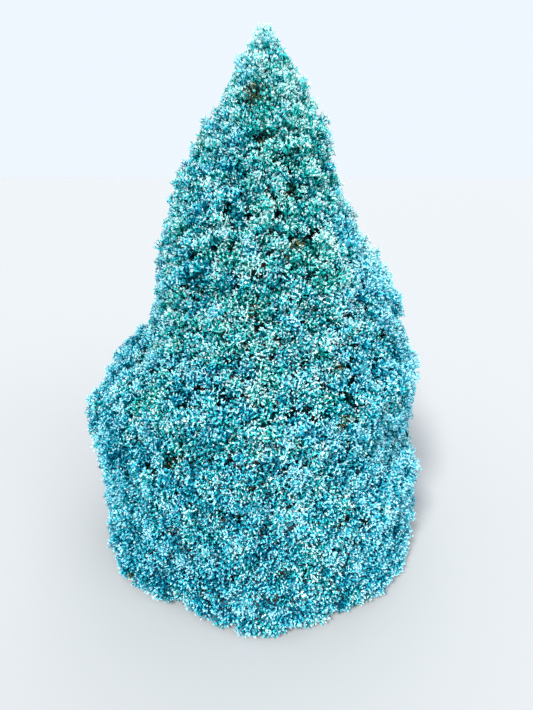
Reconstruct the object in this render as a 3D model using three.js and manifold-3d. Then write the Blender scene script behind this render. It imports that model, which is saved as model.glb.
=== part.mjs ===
// A sawara cypress of the soft, silver-blue garden kind: one trunk that runs up through a dense cone
// of foliage, boughs that leave it in tiers, and at each bough's end a mass of feathery sprays.
// Millimetres, +Z up. The origin is the middle of the flat cut under the trunk, at ground level.
import * as THREE from "three";
import { mergeVertices } from "three/addons/utils/BufferGeometryUtils.js";
import Module from "manifold-3d";

const wasm = await Module();
wasm.setup();

// The whole tree
const TREE_HEIGHT = 1968;
const TIP_LEAN = 16; // how far the tip stands towards +X of the foot
const CROWN_STATIONS = [
  // height above the ground, radius of the crown there, and sway: the share by which the crown
  // reaches further out than that on the +X side, and less far on the -X side
  [0, 688, -0.04],
  [130, 701, -0.03],
  [270, 703, -0.02],
  [420, 708, -0.038],
  [560, 700, -0.068],
  [680, 671, -0.052],
  [800, 647, 0.011],
  [900, 561, 0.048],
  [980, 513, 0.098],
  [1080, 472, 0.087],
  [1200, 438, 0.023],
  [1350, 370, -0.023],
  [1500, 291, -0.057],
  [1620, 251, 0.004],
  [1740, 172, 0.035],
  [1860, 92, -0.018],
  [TREE_HEIGHT, 6, -0.014],
];
const BULGE_DEPTH = 0.022; // broad swellings and hollows, as a share of the crown's radius
const BULGE_WAVES = [
  // turns round the crown, rise in radians a millimetre, start in radians
  [3, 0.007, 1.3],
  [5, -0.012, 4.1],
  [2, 0.017, 2.6],
];

// Trunk
const TRUNK_SIDES = 15;
const TRUNK_RINGS = 12;
const RING_CROWDING = 1.7; // above 1, the trunk's rings crowd towards its flare
const TRUNK_FOOT_RADIUS = 34;
const TRUNK_TIP_RADIUS = 3.5;
const TRUNK_TOP = 1880;
const TRUNK_BEND = 9; // the gentle sideways bow of the trunk
const FLARE_RADIUS = 17; // how far the root flare stands out at the ground
const FLARE_HEIGHT = 75;
const FLARE_LOBES = 5;
const FLARE_SWELL = 0.16; // how far the flare's lobes stand out, as a share of its radius
const TRUNK_TAPER = 0.85; // below 1, the trunk thins faster near the ground
const CUT_DEPTH = 40; // the trunk is made this far below the ground, then cut flat
const CUT_WIDTH = 400;

// Clear gap between pieces that meet, and between one mass's own space and the next
const JOINT_GAP = 0.35;
const SPACE_GAP = 2.5;
const HALVINGS = 16; // how often the search for a point's place in its tier is halved

// Boughs
const BOUGH_SIDES = 5;
const BOUGH_RINGS = 3;
const BOUGH_END = 0.44; // share of the crown's radius where a bough ends in its mass
const BOUGH_TIP_RADIUS = 5.5; // and where its mass's stem begins
const BOUGH_SWEEP = 26; // sideways wander of a bough
const BOUGH_SAG = 14; // how far a bough's middle hangs
const BOUGH_TAPER = 0.8; // below 1, a bough thins faster near the trunk
const BOUGH_STRIDE = 4; // neighbouring boughs leave the trunk this many steps apart in height
const STEM_TIP_RADIUS = 2.6;
const STEM_END = 0.68; // share of the crown's radius where a mass's stem ends
const STEM_SAG = 12; // how far a stem's middle hangs
const STEM_KNEE = 0.4; // how far along a stem it bends
const STEM_ROOTS = [0.3, 0.4]; // where a stem leaves the trunk, by share of the tier, and its spread

// Tiers of boughs, from the ground up. axis is where the tier's lower face meets the trunk's axis,
// edge where it meets the crown's surface; the face above is the next tier's. tilt raises the edge
// towards the azimuth toward. turn is the azimuth of the first mass, and twist winds the masses round
// the trunk as they rise. A tier whose boughRadius is 0 has short stems straight from the trunk.
const TIERS = [
  {
    name: "skirt",
    masses: 8,
    columns: 2,
    rows: 2,
    axis: 0,
    edge: 0,
    tilt: 0,
    toward: 0,
    turn: -88,
    twist: 6,
    boughRadius: 10.5,
    rootLow: 78,
    rootHigh: 205,
  },
  {
    name: "lower",
    masses: 8,
    columns: 2,
    rows: 2,
    axis: 255,
    edge: 500,
    tilt: 35,
    toward: -20,
    turn: -66,
    twist: -7,
    boughRadius: 10,
    rootLow: 315,
    rootHigh: 470,
  },
  {
    name: "middle",
    masses: 7,
    columns: 2,
    rows: 2,
    axis: 560,
    edge: 945,
    tilt: 40,
    toward: 10,
    turn: -97,
    twist: 8,
    boughRadius: 8.5,
    rootLow: 625,
    rootHigh: 790,
  },
  {
    name: "upper",
    masses: 5,
    columns: 2,
    rows: 1,
    axis: 920,
    edge: 1345,
    tilt: 32,
    toward: 200,
    turn: -70,
    twist: -6,
    boughRadius: 0,
  },
  {
    name: "crest",
    masses: 3,
    columns: 2,
    rows: 1,
    axis: 1270,
    edge: 1590,
    tilt: 38,
    toward: 190,
    turn: -35,
    twist: 6,
    boughRadius: 0,
  },
  {
    name: "leader",
    masses: 1,
    columns: 1,
    rows: 1,
    axis: 1530,
    edge: 1765,
    tilt: 14,
    toward: 20,
    turn: 0,
    twist: 0,
    boughRadius: 0,
  },
];
const EDGE_DIP = 0.015; // how far a mass draws in at its sides
const UNDER_DIP = 0.008; // and towards its lower edge
const LOBE_DIP = 0.03; // how far each lobe of a mass rounds off at its rim
const LOBE_SHIFT = 0.16; // how far one row of lobes is turned against the next
const LOBE_WANDER = 0.12; // and how far a lobe strays sideways
const LOBE_STRAY = 0.14; // and up or down, as a share of its row
const SKIRT_SPREAD = 0.03; // how far the lowest sprays lie out along the ground
const SKIRT_FRONT = 0.115; // how much further they lie out towards one side
const SKIRT_TOWARD = -55; // which is this azimuth
const TOES = [
  // the low lobes that lie forward on the ground: which of the skirt's masses, how far, and how wide
  [1, 0.07, 0.3],
  [8, 0.05, 0.6],
];

// Sprays: each is a toothed fan of needled shoots
const SPRAYS_PER_LOBE = 4;
const HEM_SPRAYS = 5;
const HEM_HEIGHT = 0.028; // share of the skirt's height
const SKIRT_SAG = 0.06; // the skirt's lobes sit this much lower, so that it is full at the ground
const SPRAY_WIDTH = 110;
const SPRAY_THICKNESS = 11;
const FOOT_DEPTH = 20; // how deep a spray's foot is sunk in the core
const SPRAY_ROLLS = [0, 32, -32, 75]; // degrees, tried in turn until the spray keeps to its mass's space
const SPRAY_SIZES = [1, 0.82, 0.66];
const SPRAY_LIMIT = 0.97; // how near a spray's tip comes to the mass's sides and upper face
const SPRAY_LOWEST = 0.02;
const GOLDEN_ANGLE = Math.PI * (3 - Math.sqrt(5));
const FOOT_WIDE = 0.87; // a spray's foot sits this share of its tip's way out to the side
const FOOT_HIGH = 0.86; // and of its tip's way up from the mass's middle
const FOOT_DROP = 0.17; // and then this share of the tier lower, so that the spray leans up
const FOOT_LOWEST = 0.09;
const SPIRAL_START = 0.35; // how far from a lobe's middle its first spray stands
const FAN_OUTLINE = [
  // share of the width, share of the length, going round from the foot
  [0, 0],
  [0.5, 0.66],
  [0.15, 0.72],
  [0, 1],
  [-0.15, 0.72],
  [-0.5, 0.66],
];
const FAN_RIDGE = 0.5; // where along the fan it is thickest

// Core: the dense, closed inside of a mass, that the sprays stand out of
const CORE_DEPTH = 64; // from the crown's surface down to the core
const CORE_WIDE = 0.97; // share of the mass's half width
const CORE_HIGH = 0.48; // share of the tier's height, either way from its middle
const CORE_START = 0.53; // where the core begins, as a share of the crown's radius
const CORE_ROUND = 9; // higher is squarer
const CORE_PILLOW = 0.055; // how much further the core draws in towards its rim
const CORE_GRID = 3; // faces along each side of the core's outer face

// The leader, at the tree's tip
const LEADER_PROFILE = [
  // share of the crown's radius, share of the tier's height
  [0, 0.05],
  [0.62, 0.06],
  [0.68, 0.3],
  [0.6, 0.66],
  [0, 0.9],
];
const LEADER_SIDES = 9;
const LEADER_WHORLS = 2;
const LEADER_STEP = 0.05; // how far each of the topmost sprays ends below the last, by share of the tier
const LEADER_FOOT = 0.6; // how high a spray's foot sits, as a share of its tip's height
const LEADER_ROOTS = [0.42, 0.25]; // how far out the feet sit, round the tip and in the topmost sprays

// Colours and finishes
const BARK = { color: "#6b4a35", roughness: 0.9, metalness: 0 };
const BRANCH = { color: "#7a5137", roughness: 0.85, metalness: 0 };
const FOLIAGE = { color: "#5fa7ae", roughness: 0.7, metalness: 0 };

const UP = new THREE.Vector3(0, 0, 1);
const radians = THREE.MathUtils.degToRad;
const lerp = THREE.MathUtils.lerp;

// The same number between 0 and 1 every time for the same pair of whole numbers.
function chance(a, b) {
  const x = Math.sin(a * 127.1 + b * 311.7) * 43758.5453;
  return x - Math.floor(x);
}

// One column of the crown's stations, at a height between them.
function atStation(height, column) {
  const z = THREE.MathUtils.clamp(height, 0, TREE_HEIGHT);
  const above = Math.max(1, CROWN_STATIONS.findIndex((station) => station[0] >= z));
  const [low, high] = [CROWN_STATIONS[above - 1], CROWN_STATIONS[above]];
  return lerp(low[column], high[column], (z - low[0]) / (high[0] - low[0]));
}

function crownRadius(height) {
  return atStation(height, 1);
}

function crownSway(height) {
  return atStation(height, 2);
}

// Solids

function solidFrom(geometry) {
  const bare = geometry.clone();
  bare.deleteAttribute("normal");
  bare.deleteAttribute("uv");
  const merged = mergeVertices(bare, 1e-4);
  const corners = [];
  const index = merged.index.array;
  for (let i = 0; i < index.length; i += 3) {
    const [a, b, c] = [index[i], index[i + 1], index[i + 2]];
    if (a !== b && b !== c && a !== c) corners.push(a, b, c);
  }
  const make = (triangles) =>
    new wasm.Manifold(
      new wasm.Mesh({
        numProp: 3,
        vertProperties: merged.attributes.position.array,
        triVerts: new Uint32Array(triangles),
      }),
    );
  const made = make(corners);
  return made.volume() > 0 ? made : make(corners.reverse());
}

// The one main body of a solid, without loose scraps and with any sealed hollow filled.
function largestBody(solid) {
  return solid.decompose().reduce((best, body) => (body.volume() > best.volume() ? body : best));
}

function meshFrom(solid, name, look) {
  const { vertProperties, triVerts } = solid.getMesh();
  const geometry = new THREE.BufferGeometry();
  geometry.setAttribute("position", new THREE.BufferAttribute(vertProperties, 3));
  geometry.setIndex(new THREE.BufferAttribute(triVerts, 1));
  geometry.computeVertexNormals();
  const mesh = new THREE.Mesh(geometry, new THREE.MeshStandardMaterial(look));
  mesh.name = name;
  return mesh;
}

// Moves every vertex of a geometry to where place puts it.
function shaped(geometry, place) {
  const position = geometry.attributes.position;
  const vertex = new THREE.Vector3();
  for (let i = 0; i < position.count; i += 1) {
    vertex.fromBufferAttribute(position, i);
    const moved = place(vertex);
    position.setXYZ(i, moved.x, moved.y, moved.z);
  }
  return geometry;
}

// A closed limb along a curve, with radiusAt giving its radius at each share of its length. Its rings
// crowd towards its foot where crowding is above 1.
function limb(curve, radiusAt, sides, rings, crowding = 1, flare = () => 1) {
  const profile = [new THREE.Vector2(0, 0)];
  for (let i = 0; i <= rings; i += 1) {
    const share = (i / rings) ** crowding;
    profile.push(new THREE.Vector2(radiusAt(share), share));
  }
  profile.push(new THREE.Vector2(0, 1));
  const turned = new THREE.LatheGeometry(profile, sides);
  return solidFrom(
    shaped(turned, (v) => {
      const along = curve.getTangentAt(v.y);
      const side = new THREE.Vector3(1, 0, 0).addScaledVector(along, -along.x);
      if (side.lengthSq() < 0.04) side.set(0, 1, 0).addScaledVector(along, -along.y);
      side.normalize();
      const other = new THREE.Vector3().crossVectors(along, side);
      const centre = curve.getPointAt(v.y);
      const swell = flare(Math.atan2(v.z, v.x), centre.z);
      return centre.addScaledVector(side, v.x * swell).addScaledVector(other, v.z * swell);
    }),
  );
}

// Trunk

const trunkCurve = new THREE.CatmullRomCurve3([
  new THREE.Vector3(0, 0, -CUT_DEPTH),
  new THREE.Vector3(0, 0, 0),
  new THREE.Vector3(-TRUNK_BEND, TRUNK_BEND / 2, TRUNK_TOP * 0.3),
  new THREE.Vector3(TRUNK_BEND * 0.7, 0, TRUNK_TOP * 0.62),
  new THREE.Vector3(TIP_LEAN, 0, TRUNK_TOP),
]);

function trunkSolid(extra) {
  const radiusAt = (share) => {
    const z = lerp(-CUT_DEPTH, TRUNK_TOP, share);
    const taper = lerp(TRUNK_FOOT_RADIUS, TRUNK_TIP_RADIUS, (Math.max(z, 0) / TRUNK_TOP) ** TRUNK_TAPER);
    return taper + FLARE_RADIUS * Math.exp(-Math.max(z, 0) / FLARE_HEIGHT) + extra;
  };
  // The flare stands out in lobes, one over each main root.
  const lobes = (angle, z) => {
    const stand = FLARE_SWELL * Math.exp(-Math.max(z, 0) / FLARE_HEIGHT);
    return 1 + stand * Math.cos(FLARE_LOBES * angle);
  };
  const whole = limb(trunkCurve, radiusAt, TRUNK_SIDES, TRUNK_RINGS, RING_CROWDING, lobes);
  const ground = new THREE.BoxGeometry(CUT_WIDTH, CUT_WIDTH, CUT_DEPTH * 2);
  ground.translate(0, 0, -CUT_DEPTH);
  return extra > 0 ? whole.add(whole.translate([0, 0, extra])) : whole.subtract(solidFrom(ground));
}

const trunk = trunkSolid(0);
const trunkClearance = trunkSolid(JOINT_GAP);

function trunkCentre(height) {
  const share = (height + CUT_DEPTH) / (TRUNK_TOP + CUT_DEPTH);
  return trunkCurve.getPointAt(THREE.MathUtils.clamp(share, 0, 1)).setZ(height);
}

// The crown's own coordinates: azimuth round the trunk, t from a tier's lower face to its upper one,
// and s from the axis to the crown's surface, which lies at s = 1.

function edgeHeight(level, azimuth) {
  const tier = TIERS[level];
  if (!tier) return TREE_HEIGHT;
  return tier.edge + tier.tilt * Math.cos(azimuth - radians(tier.toward));
}

// How high the crown's surface lies there, and how high the axis end of the same line does.
function surfaceHeight(level, azimuth, t) {
  return lerp(edgeHeight(level, azimuth), edgeHeight(level + 1, azimuth), t);
}

function axisHeight(level, t) {
  return lerp(TIERS[level].axis, TIERS[level + 1] ? TIERS[level + 1].axis : TREE_HEIGHT - 1, t);
}

function crownPoint(level, azimuth, t, s) {
  const edgeZ = surfaceHeight(level, azimuth, t);
  const z = lerp(axisHeight(level, t), edgeZ, s);
  const r = s * crownRadius(edgeZ);
  const lean = (TIP_LEAN * z) / TREE_HEIGHT;
  return new THREE.Vector3(r * Math.cos(azimuth) + lean, r * Math.sin(azimuth), z);
}

// Masses

const masses = [];
TIERS.forEach((tier, level) => {
  for (let i = 0; i < tier.masses; i += 1) {
    const id = masses.length + 1;
    const halfAngle = Math.PI / tier.masses;
    masses.push({
      id,
      level,
      tier,
      number: i + 1,
      halfAngle,
      azimuth: radians(tier.turn) + i * 2 * halfAngle,
      toe: TOES.find(([number]) => level === 0 && number === i + 1),
    });
  }
});

// Broad swellings and hollows that wind round the crown, between -1 and 1.
function bulge(azimuth, height) {
  const sum = BULGE_WAVES.reduce(
    (total, [turns, rise, start]) => total + Math.sin(turns * azimuth + rise * height + start),
    0,
  );
  return sum / BULGE_WAVES.length;
}

// How far out the mass's own surface lies, as a share of the crown's radius. In a mass's own
// coordinates u runs from -1 at one of its sides to 1 at the other, and t as above.
function massReach(mass, u, t) {
  const azimuth = massAzimuth(mass, u, t);
  const height = surfaceHeight(mass.level, azimuth, t);
  const whole = (1 + crownSway(height) * Math.cos(azimuth)) * (1 + BULGE_DEPTH * bulge(azimuth, height));
  const sides = mass.tier.masses > 1 ? EDGE_DIP * Math.abs(u) ** 3 : 0;
  const under = mass.level > 0 ? UNDER_DIP * (1 - t) ** 3 : 0;
  const facing = Math.max(Math.cos(azimuth - radians(SKIRT_TOWARD)), 0);
  const spread = mass.level === 0 ? SKIRT_SPREAD * (1 - t) ** 3 + SKIRT_FRONT * facing ** 4 * (1 - t) : 0;
  const [, toeReach, toeWidth] = mass.toe ?? [0, 0, 1];
  const toe = toeReach * Math.exp(-((u / toeWidth) ** 2)) * (1 - t) ** 2;
  return whole * (1 - sides - under + spread) + toe;
}

function massAzimuth(mass, u, t) {
  return mass.azimuth + u * mass.halfAngle + radians(mass.tier.twist) * (t - 0.5);
}

function massPoint(mass, u, t, s) {
  return crownPoint(mass.level, massAzimuth(mass, u, t), t, s);
}

// Whether a point keeps to the mass's own space, clear of its neighbours by SPACE_GAP.
function inOwnSpace(mass, point) {
  if (point.z < SPACE_GAP) return false;
  const x = point.x - (TIP_LEAN * point.z) / TREE_HEIGHT;
  const r = Math.hypot(x, point.y);
  const azimuth = Math.atan2(point.y, x);
  let [low, high] = [0, 1];
  const heightAt = (t) => {
    const edgeZ = surfaceHeight(mass.level, azimuth, t);
    return lerp(axisHeight(mass.level, t), edgeZ, r / crownRadius(edgeZ));
  };
  if (point.z < heightAt(0) + SPACE_GAP) return false;
  if (mass.level < TIERS.length - 1 && point.z > heightAt(1) - SPACE_GAP) return false;
  if (mass.tier.masses === 1) return true;
  for (let step = 0; step < HALVINGS; step += 1) {
    const middle = (low + high) / 2;
    if (heightAt(middle) < point.z) low = middle;
    else high = middle;
  }
  const centre = massAzimuth(mass, 0, low);
  const turned = Math.atan2(Math.sin(azimuth - centre), Math.cos(azimuth - centre));
  return (mass.halfAngle - Math.abs(turned)) * r > SPACE_GAP;
}

// Each mass is made of rounded lobes, in rows and columns that are shifted a little at random.
function lobesOf(mass) {
  const { columns, rows } = mass.tier;
  const lobes = [];
  for (let row = 0; row < rows; row += 1) {
    for (let column = 0; column < columns; column += 1) {
      const key = mass.id * 10 + row * columns + column;
      const shift = rows > 1 ? (row - 0.5) * LOBE_SHIFT : 0;
      const wander = LOBE_WANDER * (2 * chance(key, 2) - 1);
      const stray = (LOBE_STRAY / rows) * (2 * chance(key, 3) - 1);
      lobes.push({
        key,
        u: columns > 1 ? (2 * column + 1) / columns - 1 + shift + wander : 0,
        t: (row + 0.5) / rows + stray - (mass.level === 0 ? SKIRT_SAG : 0),
        halfU: 1 / columns,
        halfT: 0.5 / rows,
      });
    }
  }
  return lobes;
}

// How far out the core's own surface lies at (u, t).
function coreReach(mass, u, t) {
  const surface = massReach(mass, u, t);
  const full = massPoint(mass, u, t, surface).distanceTo(massPoint(mass, u, t, 0));
  const onGround = mass.level === 0 && t < 0.5;
  const rim = Math.max(Math.abs(u), onGround ? 0 : Math.abs(2 * t - 1)) ** 4;
  return surface * (1 - CORE_DEPTH / full) - CORE_PILLOW * rim;
}

// Place j of a lobe that holds count: a spiral from the lobe's middle to its rim. Its foot is sunk in
// the core below, a little lower down, so that the spray leans out and up.
function sprayPlace(mass, lobe, j, count) {
  const out = Math.sqrt((j + SPIRAL_START) / count);
  const round = j * GOLDEN_ANGLE + 2 * Math.PI * chance(lobe.key, 4);
  const u = THREE.MathUtils.clamp(lobe.u + out * Math.cos(round) * lobe.halfU, -SPRAY_LIMIT, SPRAY_LIMIT);
  const t = THREE.MathUtils.clamp(lobe.t + out * Math.sin(round) * lobe.halfT, SPRAY_LOWEST, SPRAY_LIMIT);
  return sprayFrom(mass, u, t, out);
}

// The sprays that lie along the ground, at the skirt's foot.
function hemPlace(mass, j) {
  return sprayFrom(mass, ((j + 0.5) / HEM_SPRAYS) * 2 - 1, HEM_HEIGHT, 0);
}

function sprayFrom(mass, u, t, out) {
  const tip = massPoint(mass, u, t, massReach(mass, u, t) * (1 - LOBE_DIP * out ** 2));
  const footU = u * FOOT_WIDE;
  const footT = Math.max(0.5 + (t - 0.5) * FOOT_HIGH - FOOT_DROP, FOOT_LOWEST);
  const footReach = coreReach(mass, footU, footT) - FOOT_DEPTH / crownRadius(tip.z);
  return { tip, foot: massPoint(mass, footU, footT, footReach) };
}

// A toothed fan: a six-sided double pyramid whose equator is drawn out into a foot and three teeth.
function fanGeometry(place, roll, size) {
  const { tip, foot } = place;
  const way = tip.clone().sub(foot);
  const length = way.length() * size;
  way.normalize();
  const across = new THREE.Vector3().crossVectors(way, UP).normalize();
  across.applyAxisAngle(way, radians(roll));
  const normal = new THREE.Vector3().crossVectors(across, way);
  const fan = new THREE.SphereGeometry(1, FAN_OUTLINE.length, 2);
  return shaped(fan, (v) => {
    const onEquator = Math.abs(v.y) < 0.5;
    const turn = Math.round((Math.atan2(v.z, v.x) / (2 * Math.PI)) * FAN_OUTLINE.length);
    const corner = FAN_OUTLINE[(turn + FAN_OUTLINE.length) % FAN_OUTLINE.length];
    const [wide, long] = onEquator ? corner : [0, FAN_RIDGE];
    return foot
      .clone()
      .addScaledVector(across, wide * SPRAY_WIDTH * size)
      .addScaledVector(way, long * length)
      .addScaledVector(normal, onEquator ? 0 : (Math.sign(v.y) * SPRAY_THICKNESS) / 2);
  });
}

function keepsToSpace(mass, geometry) {
  const position = geometry.attributes.position;
  const vertex = new THREE.Vector3();
  for (let i = 0; i < position.count; i += 1) {
    if (!inOwnSpace(mass, vertex.fromBufferAttribute(position, i))) return false;
  }
  return true;
}

function sprayIn(mass, place, first) {
  for (const size of SPRAY_SIZES) {
    for (let k = 0; k < SPRAY_ROLLS.length; k += 1) {
      const fan = fanGeometry(place, SPRAY_ROLLS[(k + first) % SPRAY_ROLLS.length], size);
      if (keepsToSpace(mass, fan)) return fan;
    }
  }
  return null;
}

// The rounded box between the mass's faces, drawn in from the crown's surface by CORE_DEPTH.
function coreSolid(mass) {
  const box = new THREE.BoxGeometry(2, 2, 2, CORE_GRID, CORE_GRID, 2);
  return solidFrom(
    shaped(box, (v) => {
      const powers = [v.x, v.y, v.z].map((part) => Math.abs(part) ** CORE_ROUND);
      const rounding = (powers[0] + powers[1] + powers[2]) ** (1 / CORE_ROUND);
      const u = (CORE_WIDE * v.x) / rounding;
      const t = 0.5 + (CORE_HIGH * v.y) / rounding;
      return massPoint(mass, u, t, lerp(CORE_START, coreReach(mass, u, t), (1 + v.z / rounding) / 2));
    }),
  );
}

// The leader's core fills the tree's tip round the trunk: a cup below and a cone above.
function leaderCore(mass) {
  const points = LEADER_PROFILE.map(([share, height]) => new THREE.Vector2(share, height));
  const turned = new THREE.LatheGeometry(points, LEADER_SIDES);
  const place = (v) => crownPoint(mass.level, Math.atan2(v.z, v.x), v.y, Math.hypot(v.x, v.z));
  return solidFrom(shaped(turned, place));
}

// Boughs

function boughCurve(mass) {
  const { tier } = mass;
  const order = ((mass.number * BOUGH_STRIDE) % tier.masses) / (tier.masses - 1);
  const root = trunkCentre(lerp(tier.rootLow, tier.rootHigh, order));
  const end = massPoint(mass, 0, 0.5, BOUGH_END);
  const along = new THREE.Vector3(Math.cos(mass.azimuth), Math.sin(mass.azimuth), 0);
  const aside = new THREE.Vector3(-along.y, along.x, 0);
  const wander = BOUGH_SWEEP * (2 * chance(mass.id, 5) - 1);
  const knee = root.clone().lerp(end, 0.5).addScaledVector(aside, wander).addScaledVector(UP, -BOUGH_SAG);
  return new THREE.QuadraticBezierCurve3(root, knee, end);
}

function boughSolid(mass, curve) {
  const radiusAt = (share) => lerp(mass.tier.boughRadius, BOUGH_TIP_RADIUS, share ** BOUGH_TAPER);
  return limb(curve, radiusAt, BOUGH_SIDES, BOUGH_RINGS).subtract(trunkClearance);
}

// From the bough's tip, or from the trunk, into the middle of the mass's core.
function stemSolid(mass, bough) {
  const end = massPoint(mass, 0, 0.5, STEM_END);
  const radiusAt = (share) => lerp(BOUGH_TIP_RADIUS, STEM_TIP_RADIUS, share);
  if (bough) {
    const start = bough.getPoint(1).addScaledVector(bough.getTangent(1), JOINT_GAP);
    const knee = start.clone().addScaledVector(bough.getTangent(1), start.distanceTo(end) * STEM_KNEE);
    return limb(new THREE.QuadraticBezierCurve3(start, knee, end), radiusAt, BOUGH_SIDES, BOUGH_RINGS);
  }
  const [from, spread] = STEM_ROOTS;
  const root = trunkCentre(axisHeight(mass.level, from + spread * chance(mass.id, 6)));
  const knee = root.clone().lerp(end, 0.5).addScaledVector(UP, -STEM_SAG);
  const curve = new THREE.QuadraticBezierCurve3(root, knee, end);
  return limb(curve, radiusAt, BOUGH_SIDES, BOUGH_RINGS + 1).subtract(trunkClearance);
}

function massSolid(mass, bough) {
  const isLeader = mass.tier.masses === 1;
  const pieces = [isLeader ? leaderCore(mass) : coreSolid(mass)];
  if (!isLeader) pieces.push(stemSolid(mass, bough));
  const places = [];
  for (const lobe of isLeader ? leaderLobes(mass) : lobesOf(mass)) {
    for (let j = 0; j < SPRAYS_PER_LOBE; j += 1) {
      places.push(isLeader ? leaderPlace(mass, lobe, j) : sprayPlace(mass, lobe, j, SPRAYS_PER_LOBE));
    }
  }
  if (mass.level === 0) {
    for (let j = 0; j < HEM_SPRAYS; j += 1) places.push(hemPlace(mass, j));
  }
  places.forEach((place, order) => {
    const fan = sprayIn(mass, place, Math.floor((SPRAY_ROLLS.length - 1) * chance(mass.id, 20 + order)));
    if (fan) pieces.push(solidFrom(fan));
  });
  return largestBody(wasm.Manifold.union(pieces).subtract(trunkClearance));
}

// The leader's sprays stand round the tip in whorls, and the last of them close it at the top.
function leaderLobes(mass) {
  return Array.from({ length: LEADER_WHORLS + 1 }, (_, whorl) => ({ key: mass.id * 10 + whorl, whorl }));
}

function leaderPlace(mass, lobe, j) {
  const last = lobe.whorl === LEADER_WHORLS;
  const share = (lobe.whorl + 0.5) / (LEADER_WHORLS + 1);
  const azimuth = (2 * Math.PI * (j + lobe.whorl * 0.5)) / SPRAYS_PER_LOBE;
  const tip = last
    ? crownPoint(mass.level, azimuth, 1 - j * LEADER_STEP, 1)
    : crownPoint(mass.level, azimuth, share, massReach(mass, 0, share));
  const foot = crownPoint(mass.level, azimuth, share * LEADER_FOOT, LEADER_ROOTS[last ? 1 : 0]);
  return { tip, foot };
}

const tree = new THREE.Group();
tree.name = "sawara_cypress";
tree.add(meshFrom(trunk, "trunk", BARK));
for (const mass of masses) {
  const curve = mass.tier.boughRadius > 0 ? boughCurve(mass) : null;
  const suffix = mass.tier.masses > 1 ? `_${mass.number}` : "";
  if (curve) {
    tree.add(meshFrom(boughSolid(mass, curve), `${mass.tier.name}_bough${suffix}`, BRANCH));
  }
  tree.add(meshFrom(massSolid(mass, curve), `${mass.tier.name}_foliage${suffix}`, FOLIAGE));
}

export default tree;
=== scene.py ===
"""The looks of a sawara cypress: bark on the trunk and boughs, and foliage grown on from them.

The crown follows the same rule as the solids: tiers of masses round one trunk, each mass made of lobes.
Here the rule is carried on to limbs, twigs and stalks, and to plumes with their tufts of soft needles.
"""

import bpy
import numpy as np
from bpy.props import FloatProperty, FloatVectorProperty, PointerProperty
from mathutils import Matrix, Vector


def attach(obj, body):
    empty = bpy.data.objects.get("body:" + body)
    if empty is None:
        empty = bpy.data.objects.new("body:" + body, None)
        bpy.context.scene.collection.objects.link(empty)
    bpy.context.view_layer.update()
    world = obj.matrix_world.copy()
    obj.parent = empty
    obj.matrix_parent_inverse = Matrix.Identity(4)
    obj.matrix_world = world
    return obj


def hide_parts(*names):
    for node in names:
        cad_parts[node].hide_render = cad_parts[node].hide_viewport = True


bl_info = {
    "name": "Sawara cypress",
    "version": (1, 0, 0),
    "blender": (4, 5, 0),
    "location": "View3D > Sidebar > Cypress",
    "description": "Grows the bark, twigs and feathery plumes of a sawara cypress on its trunk and boughs",
    "category": "Add Mesh",
}

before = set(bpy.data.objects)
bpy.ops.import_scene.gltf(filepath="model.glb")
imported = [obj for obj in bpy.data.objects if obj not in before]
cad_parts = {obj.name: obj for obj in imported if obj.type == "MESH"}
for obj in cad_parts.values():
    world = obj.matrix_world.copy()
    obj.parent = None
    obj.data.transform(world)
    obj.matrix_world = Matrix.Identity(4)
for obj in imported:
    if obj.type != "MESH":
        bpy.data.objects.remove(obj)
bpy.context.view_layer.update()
FOLIAGE_NODES = [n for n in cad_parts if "foliage" in n]
BOUGH_NODES = [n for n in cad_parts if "bough" in n]

# Lengths are in metres from here on.

# The photograph's viewpoint, and the light on the plant
PHOTO_HEIGHT = 710
FOCAL_PIXELS = 470.0
CAMERA_AT = (0.023, -1.865, 1.58)
CAMERA_DOWN = 23.5
NEAREST_SEEN = 0.02
FLOOR_REACH = 30.0
SKY_COLOUR = (0.86, 0.93, 1.0, 1)
LAMPS = (
    # name, where it shines from, strength, spread in degrees, colour
    ("key", (-1.5, -2.4, 3.4), 3.6, 12, (1.0, 0.99, 0.97)),
    ("fill", (2.6, -2.0, 2.0), 1.1, 50, (0.94, 0.98, 1.0)),
    ("back", (0.8, 3.2, 3.0), 0.7, 50, (1.0, 1.0, 1.0)),
)

# The crown, as in the solids
TREE_HEIGHT = 1.968
TIP_LEAN = 0.016
TIP_MARGIN = 0.001  # the leader's axis ends this far below the tip
CROWN_STATIONS = (
    # height, radius, sway: how much further out the crown reaches on the right than on the left
    (0, 0.688, -0.04),
    (0.13, 0.701, -0.03),
    (0.27, 0.703, -0.02),
    (0.42, 0.708, -0.038),
    (0.56, 0.7, -0.068),
    (0.68, 0.671, -0.052),
    (0.8, 0.647, 0.011),
    (0.9, 0.561, 0.048),
    (0.98, 0.513, 0.098),
    (1.08, 0.472, 0.087),
    (1.2, 0.438, 0.023),
    (1.35, 0.37, -0.023),
    (1.5, 0.291, -0.057),
    (1.62, 0.251, 0.004),
    (1.74, 0.172, 0.035),
    (1.86, 0.092, -0.018),
    (TREE_HEIGHT, 0.006, -0.014),
)
CROWN_HEIGHTS, CROWN_RADII, CROWN_SWAYS = zip(*CROWN_STATIONS)
BULGE_DEPTH = 0.022
BULGE_WAVES = ((3, 7.0, 1.3), (5, -12.0, 4.1), (2, 17.0, 2.6))  # turns round the crown, rise, start
EDGE_DIP = 0.015  # how far a mass draws in at its sides
UNDER_DIP = 0.008  # and towards its lower edge
LOBE_DIP = 0.03  # how far each lobe of a mass rounds off at its rim
LOBE_RADIUS = 0.16
LOBE_SHIFT = 0.16  # how far one row of lobes is turned against the next
LOBE_WANDER = 0.12  # and how far a lobe strays sideways
LOBE_STRAY = 0.14  # and up or down, as a share of its row
LOBE_KEYS = 10  # more than the lobes of any mass
SKIRT_SPREAD = 0.03  # how far the lowest sprays lie out along the ground
SKIRT_FRONT = 0.115  # how much further they lie out towards one side
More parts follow.
